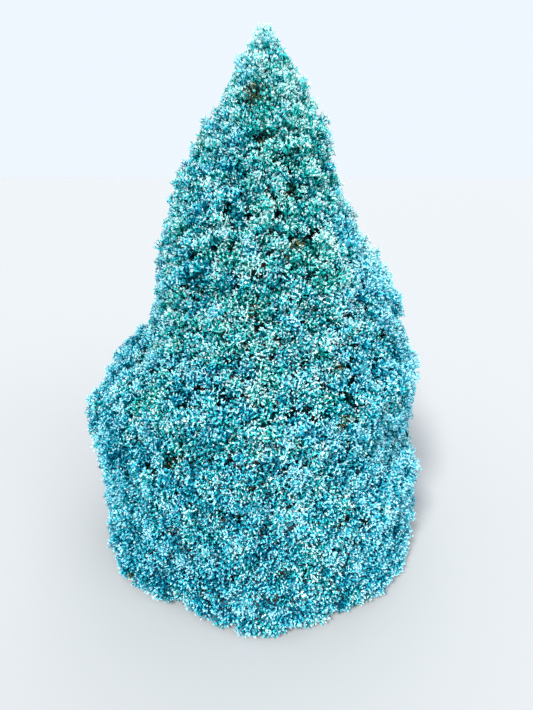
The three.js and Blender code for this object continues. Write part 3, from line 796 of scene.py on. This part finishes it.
def row_places(masses, spacing):
    """Places over one tier in staggered rows round the trunk, a little scattered: mass, u and t of each."""
    first = masses[0]
    rows = int(round(mass_height(first) / (spacing * ROW_CLOSER)))
    places = []
    for row in range(rows):
        hem = HEM_DROP if row == 0 and first["level"] == 0 else 0
        level = (row + 0.5 - hem) / rows
        radius = np.linalg.norm(mass_point(first, 0.0, level, 1.0)[:2])
        columns = max(1, int(round(2 * np.pi * radius / spacing)))
        k = np.arange(columns)
        key = first["id"] * ROW_KEYS + row
        turn = (k + 0.5 * (row % 2) + scatter(key, k, ROW_SCATTER)) / columns * 2 * np.pi
        levels = level + scatter(key, k + 0.5, ROW_SCATTER) / rows * (hem == 0)
        places.append((*held_at(masses, turn, levels), levels))
    return [np.concatenate(column) for column in zip(*places)]


def tier_places(masses, spacing):
    """Places over one tier and its toes: mass, lobe, point and outward way of each."""
    made = []
    held, across, levels = row_places(masses, spacing * (LEADER_CLOSER if len(masses) == 1 else 1))
    for mass in masses:
        mine = held == mass["number"] - 1
        u, t = across[mine], levels[mine]
        if mass["toe"]:
            reach, width = mass["toe"]
            extra = np.arange(int(TOE_AREA * reach / spacing**2))
            u = np.append(u, width * (2 * chance(extra, TOE_SEEDS[0]) - 1))
            t = np.append(t, TOE_HIGH * chance(extra, TOE_SEEDS[1]))
        lobe, apart = nearest_lobe(mass, u, t)
        dip = LOBE_DIP * np.minimum(apart / LOBE_RADIUS, 1) ** 2
        point, outward = surface_frames(mass, u, t, mass_reach(mass, u, t) * (1 - dip))
        made += [(mass, *rest) for rest in zip(lobe, point, outward)]
    return made


def ledge_places(below, above, spacing):
    """Places on the ledge that the top of a tier leaves outside the tier above it."""
    columns = int(2 * np.pi * crown_radius(above[0]["edge"]) / spacing)
    made = []
    for k in range(columns):
        azimuth = 2 * np.pi * (k + 0.5 + scatter(k, above[0]["id"], LEDGE_SCATTER)) / columns
        low, low_u = held_at(below, azimuth, 1.0)
        high, high_u = held_at(above, azimuth, 0.0)
        outer = mass_point(below[low], low_u, 1.0, mass_reach(below[low], low_u, 1.0))
        inner = mass_point(above[high], high_u, 0.0, mass_reach(above[high], high_u, 0.0))
        ledge = np.linalg.norm(outer[:2]) - np.linalg.norm(inner[:2])
        steps = int(ledge / (spacing * LEDGE_CLOSER) + 0.5)
        outward = unit(np.array([np.cos(azimuth), np.sin(azimuth), 0]) + [0, 0, 1.0])
        lobe, _ = nearest_lobe(below[low], np.array([low_u]), np.array([1.0]))
        for step in range(steps):
            made.append((below[low], lobe[0], lerp(inner, outer, (step + 0.5) / steps), outward))
    return made


def cleft_depth(point):
    """How deep each place lies in the clefts that part the sprays."""
    flat = point * [1, 1, CLEFT_FLATTER]
    return sum(
        share * (1 - np.minimum(np.abs(soft_noise(flat, scale, seed)) / CLEFT_WIDTH, 1))
        for share, scale, seed in CLEFTS
    )


def crown_places(sizes, spacing):
    """Places over the whole crown: mass, lobe, point, outward way and depth in a cleft."""
    masses = make_masses()
    by_tier = [[mass for mass in masses if mass["level"] == level] for level in range(len(TIERS))]
    made = [place for group in by_tier for place in tier_places(group, spacing)]
    for below, above in zip(by_tier, by_tier[1:]):
        made += ledge_places(below, above, spacing)
    mass, lobe, point, outward = zip(*made)
    point, outward = np.array(point), np.array(outward)
    swell = sum(patches(point, *swell) for swell in SWELLS)
    cleft = cleft_depth(point)
    slender = np.clip(crown_radius(point[:, 2]) / SLENDER, 0, 1)
    point = point + outward * (sizes.billow * slender * (swell - cleft))[:, None]
    return mass, lobe, point, outward, cleft


def dryness(point):
    """How near the foliage is to drying out: in small patches, more of them near the top."""
    return soft_noise(point, *DRY_PATCHES) + ramp(point[:, 2], *DRY_ABOVE)


def growing_way(point, outward):
    """Foliage leans outwards low down and more and more upwards towards the top."""
    steep = np.interp(point[:, 2], *zip(*GROWING_UP))
    return unit(outward + steep[:, None] * [0, 0, 1.0])


def nearest(points, others):
    """Which of the others each point lies nearest to."""
    groups = np.array_split(points, SEARCHES)
    return np.concatenate([((some[:, None] - others) ** 2).sum(-1).argmin(1) for some in groups])


def sunk_by(point, number):
    """How far in from the crown's surface each plume's tip ends, and whether the plume is dry."""
    deep = chance(number, DEPTH_SEED)
    low = SINK[0] * deep - SINK[1]
    high = HIGH_SINK[0] * deep**HIGH_SINK_BEND - HIGH_SINK[1]
    tip = TIP_SINK[0] * deep - TIP_SINK[1]
    dry = dryness(point) + scatter(number, *DRY_MIXED) > DRY_FROM
    back = lerp(low, high, ramp(point[:, 2], *HIGH_CHANGE)) + DRY_DEPTH * dry
    return lerp(back, tip, ramp(point[:, 2], *TIP_CHANGE)), dry


def grow(sizes):
    """Every cluster and plume of the crown: where each one is, and how it stands."""
    mass, lobe, heart, outward, _ = crown_places(sizes, sizes.cluster_spacing)
    clusters = {"mass": mass, "lobe": lobe, "point": heart, "way": growing_way(heart, outward)}
    _, _, point, outward, cleft = crown_places(sizes, sizes.plume_spacing)
    number = np.arange(len(point))
    cluster = nearest(point, heart)
    apart = (point - heart[cluster]) / sizes.cluster_spacing
    jitter = np.stack([scatter(number, WAY_SEED * (j + 1), WAY_SCATTER) for j in range(3)], -1)
    back, dry = sunk_by(point, number)
    plumes = {
        "number": number,
        "cluster": cluster,
        "tip": point - outward * back[:, None],
        "way": unit(growing_way(point, outward) + apart * FAN_OUT + jitter),
        "outward": outward,
        "size": PLUME_SIZES[0] + PLUME_SIZES[1] * chance(number, SIZE_SEED),
        "roll": scatter(number, *PLUME_ROLL),
        "sunk": back / SINK[0],
        "cleft": cleft,
        "dry": dry,
    }
    return clusters, plumes


# Plumes and their needles


def plume_form(seed, sizes):
    """One plume along +Y: the corners of its needles and shoots, and how pale each is: the tips' own pale
    bloom, with painted shade on the shoots and on the tufts low on the dome.
    """
    rng = np.random.default_rng(seed)
    length, spread = sizes.plume_length, sizes.plume_spread
    kites, paleness = [], []

    def kite(root, way, size, wide, faces, pale):
        across = unit(np.cross(way, faces))
        lift = np.cross(across, way) * wide * NEEDLE_FOLD
        middle = root + way * size * NEEDLE_WIDEST
        half = across * wide * 0.5
        kites.append([root, middle - half + lift, root + way * size, middle + half + lift])
        paleness.append(pale)

    def tuft(at, way, pale):
        side = unit(np.cross(way, ODD_SHOOT))
        other = np.cross(way, side)
        spin = rng.uniform(0, 2 * np.pi)
        for count, lean_low, lean_high, back, brighter in TUFT_RINGS:
            for k in range(count):
                turn = spin + 2 * np.pi * (k + back) / count
                lean = np.radians(rng.uniform(lean_low, lean_high))
                bent = way * np.cos(lean) + (side * np.cos(turn) + other * np.sin(turn)) * np.sin(lean)
                size = sizes.needle_length * rng.uniform(*NEEDLE_SIZES)
                faces = way + rng.normal(size=3) * NEEDLE_TWIST
                root = at - way * sizes.needle_length * back
                kite(root, bent, size, sizes.needle_width, faces, pale + brighter)

    for k in range(PLUME_SHOOTS):
        out = np.sqrt((k + FIRST_SHOOT) / PLUME_SHOOTS)
        turn = k * GOLDEN_ANGLE + rng.uniform(-SHOOT_TURN, SHOOT_TURN)
        high = 1 - PLUME_DOME * out**2 - rng.uniform(0, PLUME_RAGGED)
        end = np.array([np.cos(turn) * out * spread, high * length, np.sin(turn) * out * spread])
        drop = out * spread * rng.uniform(*SHOOT_STEEPNESS)
        foot = np.array([0, max(SHOOT_LOWEST * length, end[1] - drop), 0])
        reach = np.linalg.norm(end - foot)
        way = (end - foot) / reach
        # Tufts low on the dome get painted shade
        tuft(end, unit(way + [0, TUFT_LIFT, 0]), TUFT_PALENESS - DOME_DARKER * (1 - high))
        kite(foot, way, reach, sizes.shoot_width, rng.normal(size=3), SHOOT_PALENESS)
    tuft(np.array([0, length, 0]), np.array([0, 1.0, 0]), TUFT_PALENESS)
    return np.array(kites), np.array(paleness)


def plume_axes(plumes):
    """Each plume's own axes: across it, along it and the way that it faces."""
    way, roll = plumes["way"], plumes["roll"]
    across = unit(np.cross(way, plumes["outward"] + NUDGE))
    facing = np.cross(across, way)
    turned = across * np.cos(roll)[:, None] + facing * np.sin(roll)[:, None]
    return np.stack([turned, way, np.cross(turned, way)], axis=1)


def plume_hues(plumes):
    """Each plume's hue: bluer low down and at the sides, greener above, and mixed from plume to plume; the
    blue at the right edge is a painted cast of skylight.
    """
    tip = plumes["tip"]
    low = (BLUE_HEIGHT - tip[:, 2]) * BLUE_LOW
    blueness = patches(tip, *BLUE_PATCHES) - tip[:, 0] * BLUE_LEFT + low
    blueness += scatter(plumes["cluster"], *BLUE_BY_CLUSTER) + scatter(plumes["number"], *BLUE_BY_PLUME)
    # A painted blue cast of skylight at the right edge
    blueness += ramp(tip[:, 0], *BLUE_RIGHT)
    live = np.where(blueness > BLUE_FROM, BLUE, np.where(blueness > TEAL_FROM, TEAL, GREEN))
    return np.where(plumes["dry"], DRY, live)


def plume_tones(plumes):
    """How much brighter or darker each plume is, by patch, by its place and by how deep it sits. Patches
    and chance are its own tone; the sides, top and bottom, sunk plumes and clefts carry painted light and
    painted shade.
    """
    x, z = plumes["tip"][:, 0], plumes["tip"][:, 2]
    tone = patches(plumes["tip"], *TONE_PATCHES) + scatter(plumes["cluster"], *TONE_BY_CLUSTER)
    # Painted light on the right, above the ground
    tone += ramp(x, *BRIGHT_RIGHT) * ramp(z, *ABOVE_GROUND)
    # Painted shade low down and on the left
    tone -= ramp(z, *DARK_LOW) + ramp(x, *DARK_LEFT)
    by_plume = scatter(plumes["number"], *TONE_BY_PLUME)
    # Painted shade on sunk plumes and in clefts; the chance by plume is the plume's own tone
    tone += by_plume - SUNK_DARKER * plumes["sunk"] - CLEFT_DARKER * plumes["cleft"]
    strength, height, reach = BRIGHT_WAIST
    # Painted light at the top of the crown, and a band brighter round the waist
    tone += ramp(z, *BRIGHT_TIP) + strength * np.exp(-(((z - height) / reach) ** 2))
    return tone + BRIGHT_ALL


def needle_tones(paleness, plume_tone, k):
    """The tone of every needle in the plumes of one form, which says what level it gets."""
    # The paleness within a plume and the plume's tone carry painted light and shade; the chance terms from
    # shoot to shoot and needle to needle are the needles' own
    tone = lerp(0.5, paleness[None, :], PLUME_CONTRAST) + plume_tone[:, None]
    kites_per_shoot = 1 + sum(ring[0] for ring in TUFT_RINGS)
    plume, kite = np.arange(len(plume_tone))[:, None], np.arange(len(paleness))[None, :]
    shoot = plume * SHOOT_KEYS + kite // kites_per_shoot
    tone += scatter(shoot, SHOOT_SEED + k, SHOOT_CONTRAST)
    needle = np.arange(tone.size).reshape(tone.shape)
    return tone + scatter(needle, NEEDLE_SEED + k, NEEDLE_CONTRAST)


def all_needles(plumes, sizes):
    """The corners of every needle on the crown, with its hue and its level."""
    axes, hue, tone = plume_axes(plumes), plume_hues(plumes), plume_tones(plumes)
    size = plumes["size"]
    foot = plumes["tip"] - plumes["way"] * (sizes.plume_length * size)[:, None]
    form = np.floor(chance(plumes["number"], FORM_SEED) * PLUME_FORMS).astype(int)
    needles, hues, levels = [], [], []
    for k in range(PLUME_FORMS):
        kites, paleness = plume_form(PLUME_SEED + k, sizes)
        mine = np.nonzero(form == k)[0]
        made = np.einsum("cj,mjk->mck", kites.reshape(-1, 3), axes[mine]).reshape(len(mine), -1, 4, 3)
        made = made * size[mine][:, None, None, None] + foot[mine][:, None, None, :]
        lowest = made[..., 2].min(axis=(1, 2))
        made[..., 2] += np.maximum(LOWEST_NEEDLE - lowest, 0)[:, None, None]
        needles.append(made.reshape(-1, 4, 3))
        hued = np.repeat(hue[mine], len(kites))
        live = (hued == DRY) & (chance(np.arange(hued.size), LIVE_SEED + k) < LIVE_IN_DRY)
        hues.append(np.where(live, GREEN, hued))
        levels.append(np.digitize(needle_tones(paleness, tone[mine], k), LEVEL_STEPS).ravel())
    return np.concatenate(needles), np.concatenate(hues), np.concatenate(levels)


def inner_flakes(rng, point, outward, sizes):
    """Sprays of older flakes behind the surface: their middles, their corners, and which to keep."""
    room = crown_radius(point[:, 2])
    many = (len(point), INNER_FLAKES, 3)
    depth = rng.uniform(*INNER_DEPTHS, len(point)) * np.clip(room / INNER_WIDE, INNER_SHALLOW, 1)
    middle = point - outward * depth[:, None]
    root = middle[:, None] + rng.normal(size=many) * INNER_SCATTER
    outwards, mixed, upwards = INNER_WAYS
    lean = unit(outward[:, None] * outwards + rng.normal(size=many) * mixed + [0, 0, upwards])
    grown = FLAKE_GROWTH[0] + FLAKE_GROWTH[1] * depth[:, None, None]
    length = sizes.inner_flake * rng.uniform(*FLAKE_SIZES, (*many[:2], 1)) * grown
    across = unit(np.cross(lean, rng.normal(size=many)))
    half = across * length * FLAKE_WIDTH
    belly = root + lean * length * FLAKE_WIDEST + np.cross(across, lean) * length * FLAKE_FOLD
    corners = np.stack([root, belly - half, root + lean * length, belly + half], axis=2)
    x, y, z = corners[..., 0], corners[..., 1], corners[..., 2]
    reach = np.hypot(x - TIP_LEAN * z / TREE_HEIGHT, y).max(axis=2)
    share, least, most = INNER_MARGIN
    inside = reach < crown_radius(z.max(axis=2)) - np.clip(share * room, least, most)[:, None]
    return middle, corners, inside & (z.min(axis=2) > INNER_LOWEST)


class CYPRESS_OT_bark(bpy.types.Operator):
    """Trunk and boughs with the bark's relief"""

    bl_idname = "cypress.bark"
    bl_label = "Trunk and boughs"

    def execute(self, context):
        colours = context.scene.cypress_colours
        bark = bark_material("trunk_bark", colours, TRUNK_GRAIN)
        plant_piece("trunk_bark", *trunk_mesh(), ["trunk"], "trunk_bark", bark, smooth=True)
        carried = [mass for mass in make_masses() if mass["masses"] > 1]
        lines = columns_of(bough_line(mass) for mass in carried)
        radii = np.array([mass["bough_radius"] or BOUGH_TIP_RADIUS for mass in carried])
        points, quads = tubes(*lines, radii, BOUGH_TIP_RADIUS, BOUGH_SIDES, BOUGH_RINGS)
        rings = points.reshape(-1, BOUGH_SIDES, 3)
        outward = unit(rings - rings.mean(axis=1, keepdims=True)).reshape(-1, 3)
        depth, size, seed = BOUGH_RELIEF
        points = points + outward * soft_noise(points, size, seed)[:, None] * depth
        bark = bark_material("bough_bark", colours, BOUGH_GRAIN)
        plant_piece("boughs_bark", points, quads, BOUGH_NODES, "bough_bark", bark, smooth=True)
        return {"FINISHED"}


class CYPRESS_OT_twigs(bpy.types.Operator):
    """Limbs and twigs inside the masses, and a stalk to every plume"""

    bl_idname = "cypress.twigs"
    bl_label = "Twigs"

    def execute(self, context):
        sizes, colours = user_values(context)
        clusters, plumes = grow(sizes)
        lines, hearts = limb_lines()
        self.add("inner_limbs", lines, LIMB_GRID, bark_material("inner_limb_bark", colours, LIMB_GRAIN))
        held = zip(clusters["mass"], clusters["lobe"])
        starts = np.array([hearts[mass["id"], int(lobe)] for mass, lobe in held])
        way = clusters["way"]
        ends = kept_above(clusters["point"] - way * sizes.plume_length, TWIG_LOWEST)
        knees = kept_above(lerp(starts, ends, TWIG_KNEE) - way * TWIG_SAG, TWIG_LOWEST)
        bark = needle_material("twig_bark", colours.twig)
        self.add("twigs", (starts, knees, ends, *TWIG_RADII), TWIG_GRID, bark)
        tip, way = plumes["tip"], plumes["way"]
        starts = kept_above(ends[plumes["cluster"]], STALK_LOWEST)
        knees = kept_above(tip - way * sizes.plume_length * STALK_KNEE, STALK_LOWEST)
        ends = kept_above(tip - way * STALK_END, STALK_LOWEST)
        green = (1 - STALK_GREENNESS) * np.array(colours.twig) + STALK_GREENNESS * np.array(STALK_COLOUR)
        bark = needle_material("stalk_bark", green)
        self.add("plume_stalks", (starts, knees, ends, *STALK_RADII), STALK_GRID, bark)
        return {"FINISHED"}

    def add(self, name, lines, grid, material):
        plant_piece(name, *tubes(*lines, *grid), FOLIAGE_NODES, "bough_bark", material)


class CYPRESS_OT_inner(bpy.types.Operator):
    """The shaded older foliage inside, its near-black teal painted shade, and the dead brown shoots in it
    """

    bl_idname = "cypress.inner"
    bl_label = "Inner foliage"

    def execute(self, context):
        sizes, colours = user_values(context)
        rng = np.random.default_rng(INNER_SEED)
        places = []
        for mass in make_masses():
            width = np.linalg.norm(mass_point(mass, 1.0, 0.5, 1.0) - mass_point(mass, -1.0, 0.5, 1.0))
            sprays = int(width * mass_height(mass) / sizes.inner_spacing**2)
            u, t = rng.uniform(-1, 1, sprays), rng.uniform(0, 1, sprays)
            places.append(surface_frames(mass, u, t, mass_reach(mass, u, t)))
        point, outward = (np.concatenate(column) for column in zip(*places))
        middle, corners, inside = inner_flakes(rng, point, outward, sizes)
        mixed = rng.uniform(-OLD_MIXED, OLD_MIXED, len(point))
        drying = np.where(dryness(point) > DRY_FROM, OLD_IN_DRY, OLD_ELSEWHERE)
        patch = soft_noise(middle, *OLD_PATCHES) + mixed + drying
        kind = np.digitize(patch, (OLIVE_FROM, DEAD_FROM), right=True)
        # The first kind's near-black teal is painted shade; the olive and dead brown kinds are the
        # foliage's own colours
        for index, name in enumerate(("old_painted_shade", "olive", "dead")):
            chosen = corners[(kind == index)[:, None] & inside]
            foliage_piece(f"inner_{name}", chosen, getattr(colours, name))
        return {"FINISHED"}


class CYPRESS_OT_plumes(bpy.types.Operator):
    """The living plumes over the crown, in their hues and levels"""

    bl_idname = "cypress.plumes"
    bl_label = "Plumes"

    def execute(self, context):
        sizes, colours = user_values(context)
        _, plumes = grow(sizes)
        needles, hues, levels = all_needles(plumes, sizes)
        for h, hue in enumerate(HUES):
            pale, deep = np.array(getattr(colours, hue)), np.array(getattr(colours, hue + "_deep"))
            for k, (level, depth) in enumerate(LEVELS):
                # From painted shade at the deep level to the tips' pale bloom with painted highlight at the
                # silver level
                colour = deep**depth * pale ** (1 - np.array(depth))
                foliage_piece(f"plumes_{hue}_{level}", needles[(hues == h) & (levels == k)], colour)
        return {"FINISHED"}


def add_lamp(context, name, comes_from, strength, spread, colour):
    """A broad soft light from far off, even over the whole plant and the floor."""
    data = bpy.data.lights.new(name, "SUN")
    data.angle = np.radians(spread)
    data.energy = strength
    data.color = colour
    lamp = bpy.data.objects.new(name, data)
    context.scene.collection.objects.link(lamp)
    lamp.location = comes_from
    lamp.rotation_euler = Vector(comes_from).to_track_quat("Z", "Y").to_euler()


class CYPRESS_OT_stage(bpy.types.Operator):
    """Floor, soft light and the camera at the photograph's viewpoint"""

    bl_idname = "cypress.stage"
    bl_label = "Floor, light and camera"

    def execute(self, context):
        colours = context.scene.cypress_colours
        far = FLOOR_REACH
        corners = [(-far, -far, 0), (far, -far, 0), (far, far, 0), (-far, far, 0)]
        floor = mesh_object("floor", corners, [[0, 1, 2, 3]])
        shader = Shader("floor_matt", Roughness=0.9, Base_Color=(*colours.floor, 1), Specular_IOR_Level=0.1)
        floor.data.materials.append(shader.material)
        world = bpy.data.worlds.new("soft_sky")
        world.use_nodes = True
        world.node_tree.nodes["Background"].inputs["Color"].default_value = SKY_COLOUR
        context.scene.world = world
        for lamp in LAMPS:
            add_lamp(context, *lamp)
        data = bpy.data.cameras.new("camera")
        data.lens = FOCAL_PIXELS / PHOTO_HEIGHT * data.sensor_width
        data.clip_start = NEAREST_SEEN
        camera = bpy.data.objects.new("camera", data)
        context.scene.collection.objects.link(camera)
        camera.location = CAMERA_AT
        camera.rotation_euler = (np.radians(90 - CAMERA_DOWN), 0, 0)
        context.scene.camera = camera
        context.scene.view_settings.view_transform = "Standard"
        return {"FINISHED"}


OPERATORS = (CYPRESS_OT_bark, CYPRESS_OT_twigs, CYPRESS_OT_inner, CYPRESS_OT_plumes, CYPRESS_OT_stage)


class CYPRESS_PT_panel(bpy.types.Panel):
    bl_idname = "CYPRESS_PT_panel"
    bl_label = "Sawara cypress"
    bl_space_type = "VIEW_3D"
    bl_region_type = "UI"
    bl_category = "Cypress"

    def draw(self, context):
        for group in user_values(context):
            box = self.layout.box()
            for name in group.__annotations__:
                box.prop(group, name)
        for operator in OPERATORS:
            self.layout.operator(operator.bl_idname)


CLASSES = (CypressSizes, CypressColours, *OPERATORS, CYPRESS_PT_panel)


def register():
    for cls in CLASSES:
        bpy.utils.register_class(cls)
    bpy.types.Scene.cypress_sizes = PointerProperty(type=CypressSizes)
    bpy.types.Scene.cypress_colours = PointerProperty(type=CypressColours)


def unregister():
    del bpy.types.Scene.cypress_colours
    del bpy.types.Scene.cypress_sizes
    for cls in reversed(CLASSES):
        bpy.utils.unregister_class(cls)


def main():
    register()
    bpy.ops.cypress.bark()
    bpy.ops.cypress.twigs()
    bpy.ops.cypress.inner()
    bpy.ops.cypress.plumes()
    bpy.ops.cypress.stage()


if __name__ == "__main__":
    main()
